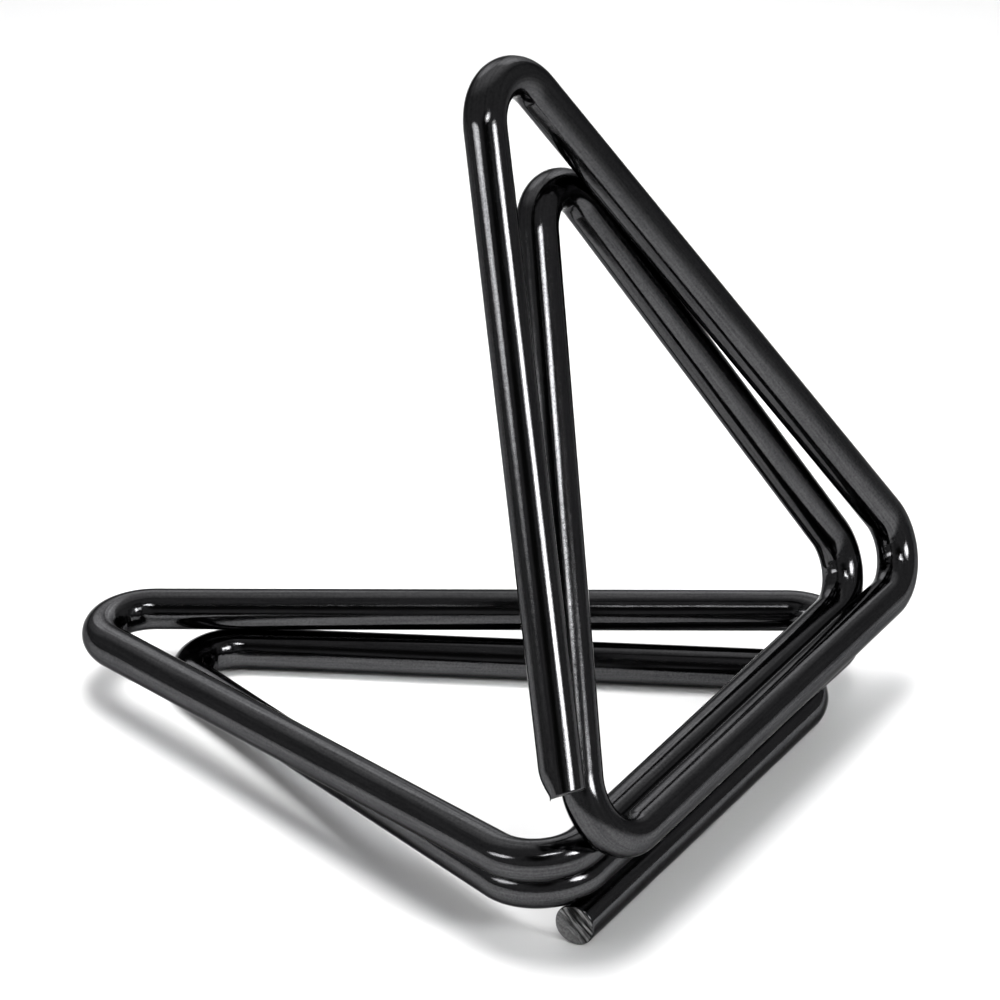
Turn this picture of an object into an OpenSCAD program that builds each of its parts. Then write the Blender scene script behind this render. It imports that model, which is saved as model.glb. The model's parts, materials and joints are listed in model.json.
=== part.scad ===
// Ball rack bent from one round steel rod: two triangular turns lie flat as
// the base, two more stand up as the upright, and the four strands between
// them run side by side along one shared edge, the spine.
// X runs along the spine towards the rear, Y from the spine over the base, Z up.

/* [Rod] */
// Diameter of the coated rod
rod_d = 8; // [6:0.5:8]
// Radius of every bend, measured to the centre of the rod
bend_r = 10; // [8:0.5:11]
// Clearance between strands that lie against each other
strand_gap = 0.2; // [0.05:0.05:1]

/* [Spine] */
// Angle by which the outer strand sits above the level of the top strand
outer_strand_rise = 17; // [0:1:25]
// Sideways place of the middle strand at its front end
middle_front_y = 1; // [-1:0.25:1]
// Sideways place of the middle strand at its rear end
middle_rear_y = -1.5; // [-2:0.25:0]
// Sideways place of the top strand
top_y = -0.75; // [-1:0.25:0]

/* [Inner base turn] */
// Length of the lowest strand from its cut end to the rear corner
lowest_strand_len = 102.5; // [90:0.5:105]
// Distance of that rear corner from the middle of the spine
inner_base_rear_x = 51.5; // [48:0.5:54]
// Reach of the inner base apex away from the spine
inner_base_reach = 123; // [110:0.5:125]
// Place of the inner base apex along the spine
inner_base_apex_x = -9; // [-14:0.5:-4]
// Distance of the front corner from the middle of the spine
inner_base_front_x = 59.5; // [57:0.5:61]

/* [Outer base turn] */
// Distance of the rear corner from the middle of the spine
outer_base_rear_x = 63.5; // [61:0.5:66]
// Reach of the outer base apex away from the spine
outer_base_reach = 138.5; // [136:0.5:145]
// Place of the outer base apex along the spine
outer_base_apex_x = -19; // [-21:0.5:-14]
// Distance of the front corner from the middle of the spine
outer_base_front_x = 62; // [61:0.5:64]

/* [Upright] */
// Lean of the upright over the base, from the vertical
lean = 24.5; // [15:0.5:28]
// Distance of the inner turn's rear corner from the middle of the spine
inner_upright_rear_x = 59.5; // [57:0.5:61]
// Height of the inner apex above the top strand
inner_upright_rise = 105.5; // [95:0.5:108]
// Place of the inner apex along the spine
inner_upright_apex_x = 12.5; // [9:0.5:15]
// Distance of the foot corner from the middle of the spine
foot_x = 60.5; // [59:0.5:62]
// Distance of the outer turn's rear corner from the middle of the spine
outer_upright_rear_x = 68; // [66:0.5:72]
// Height of the outer apex above the outer strand
outer_upright_rise = 131.5; // [129:0.5:140]
// Place of the outer apex along the spine
outer_upright_apex_x = -1; // [-3:0.5:2]

/* [Cut ends] */
// Length of rod marked by the shear at each end
cut_len = 2.5; // [1.5:0.5:4]
// Width of the edge rolled over by the shear
cut_edge = 0.4; // [0.2:0.1:0.8]
// Height of the upper cut end above the outer strand
upper_end_rise = 14.5; // [13:0.5:20]
// Distance by which the upper cut end stands forward of the upright's plane
upper_end_forward = 1.3; // [1:0.1:3]

/* [Hidden] */
$fn = 96;

rod_r = rod_d / 2;
pitch = rod_d + strand_gap;
lowest_z = rod_r;
middle_z = lowest_z + pitch;
top_z = middle_z + pitch;
outer_y = top_y - pitch * cos(outer_strand_rise);
outer_z = top_z + pitch * sin(outer_strand_rise);

// Corners of the rod's centre line, as if every bend were sharp.
route = [
    [inner_base_rear_x - lowest_strand_len, 0, lowest_z],
    [inner_base_rear_x, 0, lowest_z],
    [inner_base_apex_x, inner_base_reach, lowest_z],
    [-inner_base_front_x, middle_front_y, middle_z],
    [outer_base_rear_x, middle_rear_y, middle_z],
    [outer_base_apex_x, outer_base_reach, middle_z],
    [-outer_base_front_x, top_y, top_z],
    [inner_upright_rear_x, top_y, top_z],
    [inner_upright_apex_x, top_y + inner_upright_rise * tan(lean), top_z + inner_upright_rise],
    [-foot_x, outer_y, outer_z],
    [outer_upright_rear_x, outer_y, outer_z],
    [outer_upright_apex_x, outer_y + outer_upright_rise * tan(lean), outer_z + outer_upright_rise],
    [-foot_x, outer_y + upper_end_rise * tan(lean) - upper_end_forward, outer_z + upper_end_rise]
];
last = len(route) - 1;

function unit(v) = v / norm(v);
function heading(i) = unit(route[i + 1] - route[i]);
function turn(i) = acos(heading(i - 1) * heading(i));
// Length of straight rod that the bend at corner i takes from each side.
function trim(i) = i == 0 || i == last ? cut_len : bend_r * tan(turn(i) / 2);
// Rotation that takes X, Y and Z to three perpendicular unit vectors.
function angles(ex, ey, ez) = [atan2(ey.z, ez.z), -asin(ex.z), atan2(ex.y, ex.x)];
function inward(i) = unit(heading(i) - (heading(i) * heading(i - 1)) * heading(i - 1));

// Moves children to a point, with Z along a direction.
module along(point, direction) {
    translate(point)
        rotate([0, acos(direction.z), atan2(direction.y, direction.x)])
            children();
}

// Straight rod between corners i and i + 1, without what their bends take.
module straight(i) {
    start = route[i] + trim(i) * heading(i);
    end = route[i + 1] - trim(i + 1) * heading(i);
    along(start, heading(i))
        cylinder(h = norm(end - start), r = rod_r);
}

// Bent rod at corner i: a slice of a ring that starts square to the rod.
module bend(i) {
    start = route[i] - trim(i) * heading(i - 1);
    out = -inward(i);
    translate(start - bend_r * out)
        rotate(angles(out, heading(i - 1), cross(out, heading(i - 1))))
            rotate_extrude(angle = turn(i))
                translate([bend_r, 0])
                    circle(r = rod_r);
}

// Sheared end of the rod, its edge rolled over by the blades.
module cut_end(point, direction) {
    along(point, direction) {
        cylinder(h = cut_edge, r1 = rod_r - cut_edge, r2 = rod_r);
        translate([0, 0, cut_edge])
            cylinder(h = cut_len - cut_edge, r = rod_r);
    }
}

module lower_cut_end() {
    color("dimgray") cut_end(route[0], heading(0));
}

module lowest_spine_strand() {
    color("black") straight(0);
}

module inner_base_rear_bend() {
    color("black") bend(1);
}

module inner_base_rear_leg() {
    color("black") straight(1);
}

module inner_base_apex_bend() {
    color("black") bend(2);
}

module inner_base_front_leg() {
    color("black") straight(2);
}

module inner_base_front_bend() {
    color("black") bend(3);
}

module middle_spine_strand() {
    color("black") straight(3);
}

module outer_base_rear_bend() {
    color("black") bend(4);
}

module outer_base_rear_leg() {
    color("black") straight(4);
}

module outer_base_apex_bend() {
    color("black") bend(5);
}

module outer_base_front_leg() {
    color("black") straight(5);
}

module outer_base_front_bend() {
    color("black") bend(6);
}

module top_spine_strand() {
    color("black") straight(6);
}

module inner_upright_rear_bend() {
    color("black") bend(7);
}

module inner_upright_rear_leg() {
    color("black") straight(7);
}

module inner_upright_apex_bend() {
    color("black") bend(8);
}

module inner_upright_front_leg() {
    color("black") straight(8);
}

module foot_bend() {
    color("black") bend(9);
}

module outer_spine_strand() {
    color("black") straight(9);
}

module outer_upright_rear_bend() {
    color("black") bend(10);
}

module outer_upright_rear_leg() {
    color("black") straight(10);
}

module outer_upright_apex_bend() {
    color("black") bend(11);
}

module outer_upright_front_leg() {
    color("black") straight(11);
}

module upper_cut_end() {
    color("dimgray") cut_end(route[last], -heading(last - 1));
}

lower_cut_end();
lowest_spine_strand();
inner_base_rear_bend();
inner_base_rear_leg();
inner_base_apex_bend();
inner_base_front_leg();
inner_base_front_bend();
middle_spine_strand();
outer_base_rear_bend();
outer_base_rear_leg();
outer_base_apex_bend();
outer_base_front_leg();
outer_base_front_bend();
top_spine_strand();
inner_upright_rear_bend();
inner_upright_rear_leg();
inner_upright_apex_bend();
inner_upright_front_leg();
foot_bend();
outer_spine_strand();
outer_upright_rear_bend();
outer_upright_rear_leg();
outer_upright_apex_bend();
outer_upright_front_leg();
upper_cut_end();
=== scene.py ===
import json
import math

import bpy
import numpy as np
from mathutils import Matrix, Vector


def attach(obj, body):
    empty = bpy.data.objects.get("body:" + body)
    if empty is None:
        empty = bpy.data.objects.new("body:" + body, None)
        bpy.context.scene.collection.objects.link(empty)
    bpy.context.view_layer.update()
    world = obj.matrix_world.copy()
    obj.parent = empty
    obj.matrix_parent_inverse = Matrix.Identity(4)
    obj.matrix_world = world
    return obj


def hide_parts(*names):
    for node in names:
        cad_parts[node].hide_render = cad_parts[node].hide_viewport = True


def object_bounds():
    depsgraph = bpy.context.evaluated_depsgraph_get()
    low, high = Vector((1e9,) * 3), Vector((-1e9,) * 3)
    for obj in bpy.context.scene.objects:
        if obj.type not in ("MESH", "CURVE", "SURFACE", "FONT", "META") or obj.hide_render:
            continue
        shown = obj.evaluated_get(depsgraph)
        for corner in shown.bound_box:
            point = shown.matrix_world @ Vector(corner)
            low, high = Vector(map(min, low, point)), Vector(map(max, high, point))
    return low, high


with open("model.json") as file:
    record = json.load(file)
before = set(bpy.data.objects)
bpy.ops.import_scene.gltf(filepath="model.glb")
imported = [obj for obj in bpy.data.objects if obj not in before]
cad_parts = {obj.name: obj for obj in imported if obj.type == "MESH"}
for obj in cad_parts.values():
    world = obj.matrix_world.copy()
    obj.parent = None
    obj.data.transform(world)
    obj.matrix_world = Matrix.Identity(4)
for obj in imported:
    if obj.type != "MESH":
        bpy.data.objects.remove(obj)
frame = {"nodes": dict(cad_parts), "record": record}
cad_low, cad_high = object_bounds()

# A free-standing wire rack: one round steel rod, bent into two triangles that lie
# flat and two that lean up from the same spine, with a sheared end at each end of
# its run. Every section of the rod is swept again here along the centre line that
# the CAD nodes give, with the marks that bending and shearing leave.

MM = 0.001
nodes = frame["nodes"]
order = [part["node"] for part in frame["record"]["subparts"]]
straights = [n for n in order if not n.endswith("_bend") and not n.endswith("_cut_end")]
bends = [n for n in order if n.endswith("_bend")]
first_end, last_end = order[0], order[-1]


def unit(v):
    return v / np.linalg.norm(v)


def square_to(v, axis):
    """The direction of v with its part along axis taken out."""
    return unit(v - (v @ axis) * axis)


# ---------------------------------------------------------------------------
# The rod's centre line, read from the CAD nodes in the order of the record:
# cut end, straight, bend, straight, ... straight, cut end.
# ---------------------------------------------------------------------------

# Any direction that no strand runs along, to start a pair of side axes from.
OBLIQUE = [0.3, 0.5, 0.8]


def node_points(name):
    obj = nodes[name]
    co = np.array([obj.matrix_world @ v.co for v in obj.data.vertices])
    return np.unique(np.round(co, 8), axis=0)


def ring_centre(points, axis):
    """Centre and radius of the circle that these points lie on."""
    u = unit(np.cross(axis, OBLIQUE))
    w = np.cross(axis, u)
    base = points.mean(axis=0)
    flat = np.column_stack([(points - base) @ u, (points - base) @ w])
    a = np.column_stack([2 * flat, np.ones(len(flat))])
    sol = np.linalg.lstsq(a, (flat ** 2).sum(axis=1), rcond=None)[0]
    radius = math.sqrt(sol[2] + sol[0] ** 2 + sol[1] ** 2)
    return base + sol[0] * u + sol[1] * w, radius


def straight_ends(name):
    """Centres of a straight section's two ends, and its radius."""
    pts = node_points(name)
    mid = pts.mean(axis=0)
    axis = np.linalg.svd(pts - mid, full_matrices=False)[2][0]
    t = (pts - mid) @ axis
    low, low_r = ring_centre(pts[t < t.min() + MM], axis)
    high, high_r = ring_centre(pts[t > t.max() - MM], axis)
    return low, high, (low_r + high_r) / 2


def far_end(name, start, way):
    """Where the line from start along way is level with the node's far end."""
    return start + way * float(((node_points(name) - start) @ way).max())


spans = []
near = node_points(first_end).mean(axis=0)
rod_r = 0.0
for name in straights:
    a, b, rod_r = straight_ends(name)
    if np.linalg.norm(b - near) < np.linalg.norm(a - near):
        a, b = b, a
    spans.append((a, b))
    near = b

# ---------------------------------------------------------------------------
# Rings along the rod. Each has a centre, a direction, a side axis carried along
# without twist so that draw lines run on through the bends, the length of rod
# before it, how much the bend has worked it (0 to 1) and the inside of the bend.
# ---------------------------------------------------------------------------

STRAIGHT_STEP = 1.5 * MM
BEND_STEP = math.radians(1.2)
AROUND = 112

rings = []
slices = {}


def add_straight(name, a, b, side, s):
    way = unit(b - a)
    length = np.linalg.norm(b - a)
    count = max(3, int(round(length / STRAIGHT_STEP)))
    begin = max(len(rings) - 1, 0)
    for k in range(1 if rings else 0, count + 1):
        rings.append((a + way * length * k / count, way, side, s + length * k / count, 0.0, side))
    slices[name] = (begin, len(rings) - 1)
    return s + length


def add_bend(name, a, way_in, b, way_out, side, s):
    angle = math.acos(float(np.clip(way_in @ way_out, -1, 1)))
    inward = square_to(way_out, way_in)
    radius = np.linalg.norm(b - a) / (2 * math.sin(angle / 2))
    centre = a + radius * inward
    axle = np.cross(way_in, inward)
    count = int(math.ceil(angle / BEND_STEP))
    begin = len(rings) - 1
    for k in range(1, count + 1):
        f = angle * k / count
        to_centre = inward * math.cos(f) - way_in * math.sin(f)
        way = way_in * math.cos(f) + inward * math.sin(f)
        turned = (side @ axle) * axle + (side @ way_in) * way + (side @ inward) * to_centre
        worked = math.sin(math.pi * k / count) ** 2
        rings.append((centre - radius * to_centre, way, turned, s + radius * f, worked, to_centre))
    slices[name] = (begin, len(rings) - 1)
    return turned, s + radius * angle


first_way = unit(spans[0][1] - spans[0][0])
side_axis = unit(np.cross(first_way, [0.0, 1.0, 0.0]))
lower_tip = far_end(first_end, spans[0][0], -first_way)
along = add_straight(first_end, lower_tip, spans[0][0], side_axis, 0.0)
for i, name in enumerate(straights):
    a, b = spans[i]
    along = add_straight(name, a, b, side_axis, along)
    if i < len(bends):
        c, d = spans[i + 1]
        side_axis, along = add_bend(bends[i], b, unit(b - a), c, unit(d - c), side_axis, along)
upper_tip = far_end(last_end, spans[-1][1], unit(spans[-1][1] - spans[-1][0]))
add_straight(last_end, spans[-1][1], upper_tip, side_axis, along)

centres, ways, side_a, run, bending, inside_ways = (np.array(c) for c in zip(*rings))
side_b = np.cross(ways, side_a)

# ---------------------------------------------------------------------------
# The rod's skin
# ---------------------------------------------------------------------------

# Cold bending flattens the rod a little on the inside and outside of each bend,
# and crowds the metal inside the bend into short shallow wrinkles. The lengths of
# the long and the short ones are given over two pi.
FLATTEN = 0.03
WRINKLE = 0.028 * MM
LONG_WRINKLE, SHORT_WRINKLE = 0.47 * MM, 0.29 * MM

# The shear that parted the rod rolled one side of each end inwards, this far back.
ROLL_REACH = 4.6 * MM

# How the shear left each end: the side on which the face leans out, by how much,
# and the burr there; the way its tears run and the half of the face that they are
# on; how far the face sits inside the CAD length; and the pinch, the share of the
# radius by which the leaning side is rolled in.
LOWER_CUT = {"outward": -1, "lean_way": np.array([0.0, 1.0, -0.6]), "lean": 0.18 * MM,
             "burr": 0.10 * MM, "tear_way": np.array([0.0, -1.0, -1.0]), "torn_half": -1,
             "set_back": 0.0, "pinch": 0.05}
UPPER_CUT = {"outward": 1, "lean_way": np.array([-0.5, 0.85, 0.0]), "lean": 0.55 * MM,
             "burr": 0.35 * MM, "tear_way": np.array([-1.0, 0.3, 0.0]), "torn_half": 1,
             "set_back": 0.90 * MM, "pinch": 0.36}

theta = np.arange(AROUND) * 2 * math.pi / AROUND
radial = (np.cos(theta)[None, :, None] * side_a[:, None, :]
          + np.sin(theta)[None, :, None] * side_b[:, None, :])


def rolled_in(facing, from_tip, pinch):
    """The share of the radius that is left where the shear rolled a side inwards."""
    on_side = np.clip(facing, 0, 1) ** 1.5
    near_tip = np.clip(1 - from_tip / ROLL_REACH, 0, 1) ** 1.5
    return 1 - pinch * on_side * near_tip


def bent_radius():
    """Radius at every point of every ring, as bending leaves it."""
    inner = np.einsum("kjc,kc->kj", radial, inside_ways)
    # Wrinkles lie only on the inside of the bend, and away from its two ends.
    on_inside = np.clip((inner - 0.45) / 0.4, 0, 1) ** 2
    inside = on_inside * np.clip(bending[:, None] * 1.6 - 0.3, 0, 1)
    # Their phases wander round the rod, so that no wrinkle is a plain ring.
    long_phase = 2.0 * np.sin(3 * theta)[None, :]
    short_phase = 3.0 * np.cos(2 * theta)[None, :]
    wave = (np.sin(run[:, None] / LONG_WRINKLE + long_phase)
            + 0.6 * np.sin(run[:, None] / SHORT_WRINKLE + short_phase + 1.0))
    flattened = rod_r * (1 - FLATTEN * bending[:, None] * inner ** 4)
    return flattened - WRINKLE * inside * (1.0 + 0.5 * wave)


def end_shape(cut, ring, from_tip):
    """Share of the radius that one cut end leaves at every point of every ring."""
    facing = radial @ square_to(cut["lean_way"], ways[ring])
    return rolled_in(facing, from_tip - cut["set_back"], cut["pinch"])


kept_by_shear = (end_shape(LOWER_CUT, 0, run[:, None])
                 * end_shape(UPPER_CUT, -1, run[-1] - run[:, None]))
radius = bent_radius() * kept_by_shear
skin = centres[:, None, :] + radius[:, :, None] * radial


# How quickly a ring counts as worked, as it starts to bend or to be rolled in.
BEND_GAIN, PINCH_GAIN = 8, 400


def skin_normals():
    """Normals of the whole rod at once, so that sections meet without a seam."""
    d_around = np.roll(skin, -1, axis=1) - np.roll(skin, 1, axis=1)
    d_along = np.empty_like(skin)
    d_along[1:-1] = skin[2:] - skin[:-2]
    d_along[0] = skin[1] - skin[0]
    d_along[-1] = skin[-1] - skin[-2]
    n = np.cross(d_around, d_along)
    n /= np.linalg.norm(n, axis=2, keepdims=True)
    n *= np.sign(np.einsum("kjc,kjc->kj", n, radial))[:, :, None]
    # A difference taken across a bend's first ring is lopsided, so a ring that is
    # still round keeps its own directions, and the two are mixed over the next few.
    worked = np.maximum(bending * BEND_GAIN, (1 - kept_by_shear.min(axis=1)) * PINCH_GAIN)
    mix = np.clip(worked, 0, 1)[:, None, None]
    n = n * mix + radial * (1 - mix)
    return n / np.linalg.norm(n, axis=2, keepdims=True)


skin_n = skin_normals()

# The rod as if it were straight: two side coordinates and the length along it.
rod_co = np.stack([
    np.broadcast_to(rod_r * np.cos(theta), (len(centres), AROUND)),
    np.broadcast_to(rod_r * np.sin(theta), (len(centres), AROUND)),
    np.broadcast_to(run[:, None], (len(centres), AROUND)),
], axis=2)


# ---------------------------------------------------------------------------
# Meshes
# ---------------------------------------------------------------------------

def make_piece(name, verts, faces, loop_normals, coords, material, replaced):
    mesh = bpy.data.meshes.new(name)
    mesh.from_pydata([tuple(v) for v in verts], [], faces)
    mesh.update()
    for poly in mesh.polygons:
        poly.use_smooth = True
    attr = mesh.attributes.new("rod_co", "FLOAT_VECTOR", "POINT")
    attr.data.foreach_set("vector", np.asarray(coords, dtype=np.float32).ravel())
    mesh.normals_split_custom_set([tuple(n) for n in loop_normals])
    obj = bpy.data.objects.new(name, mesh)
    bpy.context.scene.collection.objects.link(obj)
    obj.data.materials.append(material)
    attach(obj, "root")
    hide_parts(replaced)
    return obj


def tube_faces(count):
    """Quads between each of count rings and the next."""
    faces = []
    for k in range(count - 1):
        for j in range(AROUND):
            a, b = k * AROUND + j, k * AROUND + (j + 1) % AROUND
            faces.append((a, b, b + AROUND, a + AROUND))
    return faces


def section(name, material):
    """A closed length of rod between two of its rings."""
    k0, k1 = slices[name]
    count = k1 - k0 + 1
    verts = skin[k0:k1 + 1].reshape(-1, 3)
    normals = skin_n[k0:k1 + 1].reshape(-1, 3)
    faces = tube_faces(count)
    loop_normals = [normals[v] for f in faces for v in f]
    last = (count - 1) * AROUND
    faces.append(tuple(range(AROUND - 1, -1, -1)))
    loop_normals += [-ways[k0]] * AROUND
    faces.append(tuple(range(last, last + AROUND)))
    loop_normals += [ways[k1]] * AROUND
    make_piece(name + "_rod", verts, faces, loop_normals, rod_co[k0:k1 + 1].reshape(-1, 3),
               material, name)


def vertex_normals(verts, faces):
    v = np.asarray(verts)
    n = np.zeros_like(v)
    for f in faces:
        c = np.cross(v[f[1]] - v[f[0]], v[f[2]] - v[f[0]])
        if len(f) == 4:
            c = c + np.cross(v[f[2]] - v[f[0]], v[f[3]] - v[f[0]])
        for i in f:
            n[i] += c
    return n / np.linalg.norm(n, axis=1, keepdims=True)


def ripple(u, v, seed):
    """Smooth irregular value of about -1 to 1 over a plane."""
    total = 0.0
    for k in range(1, 6):
        a = seed + 2.4 * k
        w = 2.1 * 1.7 ** k
        total = total + np.sin(w * (u * np.cos(a) + v * np.sin(a)) + 1.3 * a) / 1.35 ** k
    return total / 2.2


# The torn grooves of a sheared face: place across it, width, depth and bow. The
# places and widths are shares of the rod's radius.
GROOVES = ((-0.30, 0.04, 0.6, 0.2), (-0.12, 0.05, 0.9, -0.1), (0.06, 0.05, 1.0, 0.25),
           (0.24, 0.05, 1.0, -0.2), (0.42, 0.04, 0.8, 0.3), (0.60, 0.05, 0.7, -0.1),
           (0.76, 0.03, 0.5, 0.2))
GROOVE_DEPTH = 0.20 * MM
FACE_RIPPLE = 0.035 * MM
FACE_DISH = 0.05 * MM

# The burr grows from this share of the leaning side onwards, over this much more.
BURR_FROM, BURR_SPAN = 0.80, 0.2

# The edge is rounded by the first of these all round, with the second added on the
# low side and the third halfway round.
EDGE_ROUND, EDGE_LOW, EDGE_SIDE = 0.12 * MM, 0.30 * MM, 0.22 * MM

# Rings of a cut end: along its side, round its edge, and in towards its centre. The
# torn finish starts this many rings before the face, on the rounded edge.
SIDE_RINGS, EDGE_RINGS, FACE_RINGS = 14, 6, 34
TORN_EDGE_RINGS = 3


def grooves(u, v):
    """Relief of the torn grooves, each with a ridge thrown up beside it."""
    total = 0.0
    for place, wide, deep, bow in GROOVES:
        off = v - place - bow * 0.12 * np.sin(2.6 * u + 9 * place)
        total = total - deep * np.exp(-(off / wide) ** 2)
        total = total + 0.55 * deep * np.exp(-((off - 1.7 * wide) / wide) ** 2)
    return total


def cut_end(name, side_coat, face_coat, cut):
    """The sheared end of the rod: a leaning face, torn in ridges, with a burr on one side."""
    outward = cut["outward"]
    k0, k1 = slices[name]
    joint, tip_ring = (k0, k1) if outward > 0 else (k1, k0)
    axis = ways[joint] * outward
    length = float((centres[tip_ring] - centres[joint]) @ axis) - cut["set_back"]
    tears = square_to(cut["tear_way"], axis)
    across = np.cross(axis, tears)
    side = radial[joint]
    facing = side @ square_to(cut["lean_way"], axis)
    burr = cut["burr"] * np.clip((facing - BURR_FROM) / BURR_SPAN, 0, 1) ** 2
    reach = length + cut["lean"] * facing + burr
    edge = EDGE_ROUND + EDGE_LOW * np.clip(-facing, 0, 1) + EDGE_SIDE * (1 - np.abs(facing))
    verts, coords = [], []

    def ring(q, height):
        """One ring, q of a radius out from the middle and height along the end."""
        q = q * rolled_in(facing, length - height, cut["pinch"])
        for j in range(AROUND):
            verts.append(centres[joint] + side[j] * rod_r * q[j] + axis * height[j])
            coords.append((rod_r * q[j] * math.cos(theta[j]), rod_r * q[j] * math.sin(theta[j]),
                           run[joint] + outward * height[j]))

    for k in range(SIDE_RINGS):
        ring(np.ones(AROUND), (reach - edge) * k / (SIDE_RINGS - 1))
    for k in range(1, EDGE_RINGS + 1):
        f = math.pi / 2 * k / EDGE_RINGS
        ring(1 - edge / rod_r * (1 - math.cos(f)), reach - edge * (1 - math.sin(f)))
    for k in range(1, FACE_RINGS):
        q = (1 - edge / rod_r) * (1 - k / FACE_RINGS)
        u = q * (side @ tears)
        v = q * (side @ across)
        from_edge = np.clip(k / 4.0, 0, 1)
        torn = np.clip(v * 3.0 + 1.4, 0, 1) * np.clip(1.25 - np.abs(u) * 1.2, 0, 1)
        relief = (GROOVE_DEPTH * grooves(u, v) * torn + FACE_RIPPLE * ripple(u, v, 1.0)
                  - FACE_DISH)
        ring(q, length + cut["lean"] * q * facing + from_edge * relief
             + 0.6 * burr * (1 - from_edge))
    count = SIDE_RINGS + EDGE_RINGS + FACE_RINGS - 1
    verts.append(centres[joint] + axis * (length - FACE_DISH))
    coords.append((0.0, 0.0, run[joint] + outward * length))

    faces = tube_faces(count)
    inmost = (count - 1) * AROUND
    faces += [(inmost + j, inmost + (j + 1) % AROUND, len(verts) - 1) for j in range(AROUND)]
    if outward < 0:
        faces = [f[::-1] for f in faces]
    normals = vertex_normals(verts, faces)
    normals[:AROUND] = skin_n[joint]
    loop_normals = [normals[i] for f in faces for i in f]
    base = tuple(range(AROUND))
    faces.append(base[::-1] if outward > 0 else base)
    loop_normals += [-axis] * AROUND
    obj = make_piece(name + "_rod", verts, faces, loop_normals, coords, side_coat, name)
    obj.data.materials.append(face_coat)
    first_face = (SIDE_RINGS + EDGE_RINGS - TORN_EDGE_RINGS) * AROUND
    for poly in obj.data.polygons:
        if first_face <= poly.index < len(faces) - 1:
            poly.material_index = 1


# ---------------------------------------------------------------------------
# Materials. Noise scales are per metre, bump distances in metres.
# ---------------------------------------------------------------------------

def grey(v):
    return (v, v, v)


def new_material(name):
    mat = bpy.data.materials.new(name)
    mat.use_nodes = True
    tree = mat.node_tree
    return mat, tree, tree.nodes["Principled BSDF"]


def put(tree, kind, **settings):
    node = tree.nodes.new(kind)
    for key, value in settings.items():
        setattr(node, key, value)
    return node


def stretched(tree, vector, scale):
    node = put(tree, "ShaderNodeMapping")
    node.inputs["Scale"].default_value = scale
    tree.links.new(vector, node.inputs["Vector"])
    return node.outputs["Vector"]


def noise(tree, vector, scale, detail, rough):
    node = put(tree, "ShaderNodeTexNoise")
    node.inputs["Scale"].default_value = scale
    node.inputs["Detail"].default_value = detail
    node.inputs["Roughness"].default_value = rough
    tree.links.new(vector, node.inputs["Vector"])
    return node.outputs["Fac"]


def map_range(tree, value, lo, hi, to_lo, to_hi):
    node = put(tree, "ShaderNodeMapRange")
    for key, number in (("From Min", lo), ("From Max", hi), ("To Min", to_lo), ("To Max", to_hi)):
        node.inputs[key].default_value = number
    tree.links.new(value, node.inputs["Value"])
    return node.outputs["Result"]


def bump(tree, height, distance, strength, normal=None):
    node = put(tree, "ShaderNodeBump")
    node.inputs["Distance"].default_value = distance
    node.inputs["Strength"].default_value = strength
    tree.links.new(height, node.inputs["Height"])
    if normal is not None:
        tree.links.new(normal, node.inputs["Normal"])
    return node.outputs["Normal"]


def ramp(tree, value, stops):
    node = put(tree, "ShaderNodeValToRGB")
    elements = node.color_ramp.elements
    while len(elements) < len(stops):
        elements.new(0.5)
    for element, (position, colour) in zip(elements, stops):
        element.position = position
        element.color = (*colour, 1.0)
    tree.links.new(value, node.inputs["Fac"])
    return node.outputs["Color"]


def gloss_black():
    """Thin black coat: clear reflections over a slight sway, peel, draw lines and grain."""
    mat, tree, shader = new_material("gloss_black_coat")
    shader.inputs["Metallic"].default_value = 1.0
    shader.inputs["Specular Tint"].default_value = (0.42, 0.42, 0.42, 1.0)
    rod = put(tree, "ShaderNodeAttribute", attribute_name="rod_co").outputs["Vector"]
    place = put(tree, "ShaderNodeTexCoord").outputs["Object"]
    lines = noise(tree, stretched(tree, rod, (1.0, 1.0, 0.03)), 2600.0, 3.0, 0.6)
    peel = noise(tree, place, 700.0, 1.0, 0.4)
    grain = noise(tree, place, 5200.0, 2.0, 0.6)
    sway = noise(tree, place, 38.0, 1.0, 0.4)
    normal = bump(tree, sway, 0.0012, 0.12)
    normal = bump(tree, peel, 0.00005, 0.20, normal)
    normal = bump(tree, lines, 0.00002, 0.45, normal)
    normal = bump(tree, grain, 0.00001, 0.80, normal)
    tree.links.new(normal, shader.inputs["Normal"])
    speck = noise(tree, place, 2400.0, 2.0, 0.6)
    both = put(tree, "ShaderNodeMath", operation="ADD")
    tree.links.new(lines, both.inputs[0])
    tree.links.new(speck, both.inputs[1])
    worn = map_range(tree, both.outputs["Value"], 0.65, 1.35, 0.0, 1.0)
    tone = ramp(tree, worn, [(0.0, (0.034, 0.034, 0.036)), (1.0, (0.084, 0.084, 0.086))])
    tree.links.new(tone, shader.inputs["Base Color"])
    patch = noise(tree, place, 160.0, 3.0, 0.6)
    tree.links.new(map_range(tree, patch, 0.3, 0.7, 0.07, 0.11), shader.inputs["Roughness"])
    return mat


def tear_angle(ring, tear_way):
    """Angle of the tears in the rod's own side axes."""
    way = square_to(tear_way, ways[ring])
    return math.atan2(float(way @ side_b[ring]), float(way @ side_a[ring]))


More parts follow.
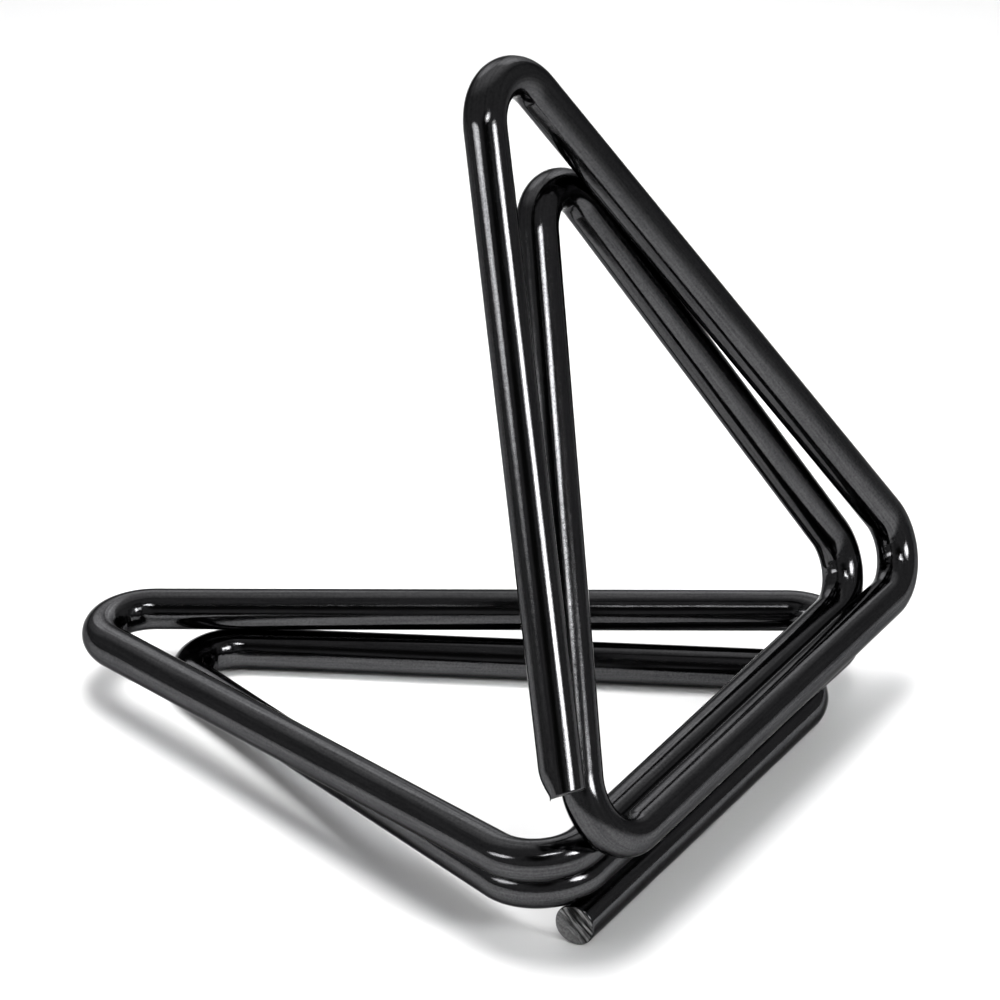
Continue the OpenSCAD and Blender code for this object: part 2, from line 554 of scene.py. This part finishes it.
def sheared_metal(name, angle, torn_half):
    """Coated torn steel: ridges along angle on one half and a little beyond, then smoother."""
    mat, tree, shader = new_material(name)
    shader.inputs["Metallic"].default_value = 1.0
    shader.inputs["Specular Tint"].default_value = (0.5, 0.5, 0.5, 1.0)
    rod = put(tree, "ShaderNodeAttribute", attribute_name="rod_co").outputs["Vector"]
    turn = put(tree, "ShaderNodeVectorRotate", rotation_type="Z_AXIS")
    turn.inputs["Angle"].default_value = -angle
    tree.links.new(rod, turn.inputs["Vector"])
    turned = turn.outputs["Vector"]
    ridges = noise(tree, stretched(tree, turned, (0.16, 1.0, 0.0)), 1050.0, 2.0, 0.55)
    split = put(tree, "ShaderNodeSeparateXYZ")
    tree.links.new(turned, split.inputs["Vector"])
    torn = map_range(tree, split.outputs["Y"], -0.50 * rod_r * torn_half, 0.0, 0.0, 1.0)
    grain = noise(tree, rod, 1500.0, 3.0, 0.65)
    smooth_tone = ramp(tree, grain, [(0.3, grey(0.10)), (0.7, grey(0.25))])
    # On the torn half the colour follows the bumped ridges: near black in their troughs as painted
    # shade, and light on their crests as painted highlight.
    ridge_shade_and_highlight_tone = ramp(tree, ridges, [(0.40, grey(0.012)), (0.50, grey(0.09)), (0.62, grey(0.34))])
    mix = put(tree, "ShaderNodeMix", data_type="RGBA")
    tree.links.new(torn, mix.inputs["Factor"])
    tree.links.new(smooth_tone, mix.inputs["A"])
    tree.links.new(ridge_shade_and_highlight_tone, mix.inputs["B"])
    tree.links.new(mix.outputs["Result"], shader.inputs["Base Color"])
    tree.links.new(map_range(tree, grain, 0.3, 0.7, 0.25, 0.42), shader.inputs["Roughness"])
    fine = bump(tree, grain, 0.00008, 0.6)
    tree.links.new(bump(tree, ridges, 0.00030, 0.7, fine), shader.inputs["Normal"])
    return mat


def torn_coat(name, ring, cut):
    return sheared_metal(name, tear_angle(ring, cut["tear_way"]), cut["torn_half"])


coat = gloss_black()
cut_end(first_end, coat, torn_coat("coated_sheared_end_low", 0, LOWER_CUT), LOWER_CUT)
cut_end(last_end, coat, torn_coat("coated_sheared_end_high", -1, UPPER_CUT), UPPER_CUT)
for name in order[1:-1]:
    section(name, coat)
for name in order:
    obj = nodes[name]
    obj.data.materials.clear()
    obj.data.materials.append(coat)

# ---------------------------------------------------------------------------
# Camera: the photograph's viewing angle, the whole rack centred in the frame.
# ---------------------------------------------------------------------------

VIEW_AZIMUTH = math.radians(31.3)
VIEW_ELEVATION = math.radians(29.1)
VIEW_DISTANCE = 1.24
MARGIN = 0.055
SENSOR = 36.0

low, high = np.array(cad_low), np.array(cad_high)
middle = (low + high) / 2


def look(direction):
    right = unit(np.cross(direction, [0, 0, 1]))
    return right, np.cross(right, direction)


def make_camera():
    forward = np.array([math.cos(VIEW_ELEVATION) * math.cos(VIEW_AZIMUTH),
                        math.cos(VIEW_ELEVATION) * math.sin(VIEW_AZIMUTH),
                        -math.sin(VIEW_ELEVATION)])
    stand = middle - forward * VIEW_DISTANCE
    rel = skin.reshape(-1, 3) - stand
    aim = forward
    for _ in range(4):
        right, up = look(aim)
        depth = rel @ aim
        u, v = (rel @ right) / depth, (rel @ up) / depth
        aim = unit(aim + right * (u.max() + u.min()) / 2 + up * (v.max() + v.min()) / 2)
    half = max(u.max() - u.min(), v.max() - v.min()) / 2 / (1 - 2 * MARGIN)
    cam = bpy.data.cameras.new("camera")
    cam.sensor_width = SENSOR
    cam.lens = SENSOR / 2 / half
    cam.clip_start, cam.clip_end = 0.05, 20.0
    obj = bpy.data.objects.new("camera", cam)
    bpy.context.scene.collection.objects.link(obj)
    right, up = look(aim)
    turn = Matrix((right, up, -aim)).transposed()
    obj.matrix_world = Matrix.Translation(Vector(stand)) @ turn.to_4x4()
    bpy.context.scene.camera = obj


make_camera()

# ---------------------------------------------------------------------------
# Floor, lights and surroundings. A light's place is given by its direction from
# the middle of the rack: degrees round from +X, and degrees up.
# ---------------------------------------------------------------------------

FLOOR_HALF = 2.2
POOL_HEIGHT, POOL_WIDTH, POOL_RADIUS, POOL_WATTS = 0.75, math.radians(60), 0.22, 42.0


def heading(azimuth, elevation):
    a, e = math.radians(azimuth), math.radians(elevation)
    return np.array([math.cos(e) * math.cos(a), math.cos(e) * math.sin(a), math.sin(e)])


def make_floor():
    mesh = bpy.data.meshes.new("floor")
    corners = ((-1, -1), (1, -1), (1, 1), (-1, 1))
    mesh.from_pydata([(FLOOR_HALF * x, FLOOR_HALF * y, low[2]) for x, y in corners], [],
                     [(0, 1, 2, 3)])
    floor = bpy.data.objects.new("floor", mesh)
    bpy.context.scene.collection.objects.link(floor)
    mat, _, shader = new_material("pale_floor")
    shader.inputs["Base Color"].default_value = (0.75, 0.75, 0.75, 1.0)
    shader.inputs["Roughness"].default_value = 0.9
    shader.inputs["Specular IOR Level"].default_value = 0.1
    mesh.materials.append(mat)


def soft_box(name, centre, along_way, distance, width, height, radiance, spread, shape):
    """An area light facing the rack, its width along along_way."""
    z = unit(centre)
    x = square_to(along_way, z)
    y = np.cross(z, x)
    data = bpy.data.lights.new(name, "AREA")
    data.shape = shape
    data.size, data.size_y = width, height
    data.spread = math.radians(spread)
    half = data.spread / 2
    # A gridded box keeps its power and so grows brighter straight ahead.
    gain = math.tan(half) / (math.tan(half) - half)
    data.energy = radiance * math.pi * width * height / gain
    obj = bpy.data.objects.new(name, data)
    bpy.context.scene.collection.objects.link(obj)
    place = Matrix.Translation(Vector(middle + z * distance))
    obj.matrix_world = place @ Matrix((x, y, z)).transposed().to_4x4()


def floor_pool():
    """A round soft light on the floor that the rod doesn't reflect."""
    pool = bpy.data.lights.new("floor_pool", "SPOT")
    pool.spot_size = POOL_WIDTH
    pool.spot_blend = 1.0
    pool.shadow_soft_size = POOL_RADIUS
    pool.energy = POOL_WATTS
    obj = bpy.data.objects.new("floor_pool", pool)
    bpy.context.scene.collection.objects.link(obj)
    obj.location = Vector(middle) + Vector((0.0, 0.0, POOL_HEIGHT))
    obj.visible_glossy = False


def surroundings():
    """A grey room, with a pale glow on one side and a dark patch on the other."""
    world = bpy.data.worlds.new("studio")
    bpy.context.scene.world = world
    world.use_nodes = True
    tree = world.node_tree
    direction = put(tree, "ShaderNodeTexCoord").outputs["Generated"]

    def lobe(way, edge, core, stops):
        """A round patch of the room, from its edge to its core (cosines)."""
        dot = put(tree, "ShaderNodeVectorMath", operation="DOT_PRODUCT")
        dot.inputs[1].default_value = tuple(way)
        tree.links.new(direction, dot.inputs[0])
        return ramp(tree, map_range(tree, dot.outputs["Value"], edge, core, 0.0, 1.0), stops)

    dark = lobe(heading(-150, 42), 0.93, 0.985, [(0.0, grey(1.0)), (1.0, grey(0.12))])
    glow = lobe(heading(38, 40), 0.68, 0.95, [(0.0, (0.23, 0.23, 0.235)), (1.0, grey(1.0))])
    blend = put(tree, "ShaderNodeMix", data_type="RGBA", blend_type="MULTIPLY")
    blend.inputs["Factor"].default_value = 1.0
    tree.links.new(glow, blend.inputs["A"])
    tree.links.new(dark, blend.inputs["B"])
    back = tree.nodes["Background"]
    tree.links.new(blend.outputs["Result"], back.inputs["Color"])
    back.inputs["Strength"].default_value = 1.0


make_floor()
soft_box("key_upper", heading(-127, 53.5), heading(-37, 0), distance=2.0,
         width=1.00, height=0.16, radiance=32.0, spread=28, shape="RECTANGLE")
soft_box("key_lower", heading(-91.5, 29.3), heading(-68, 17) - heading(-116, 40), distance=2.0,
         width=1.52, height=0.45, radiance=28.0, spread=28, shape="ELLIPSE")
soft_box("side_panel", heading(151, 24.5), heading(172, 31) - heading(131, 17), distance=1.15,
         width=0.78, height=0.22, radiance=8.0, spread=60, shape="ELLIPSE")
soft_box("back_panel_left", heading(15, 20.5), heading(-75, 0), distance=1.2,
         width=0.56, height=0.98, radiance=3.0, spread=60, shape="RECTANGLE")
soft_box("back_panel_right", heading(48, 25), heading(-42, 0), distance=1.2,
         width=0.66, height=0.72, radiance=1.9, spread=60, shape="ELLIPSE")
floor_pool()
surroundings()
bpy.context.scene.view_settings.view_transform = "Standard"
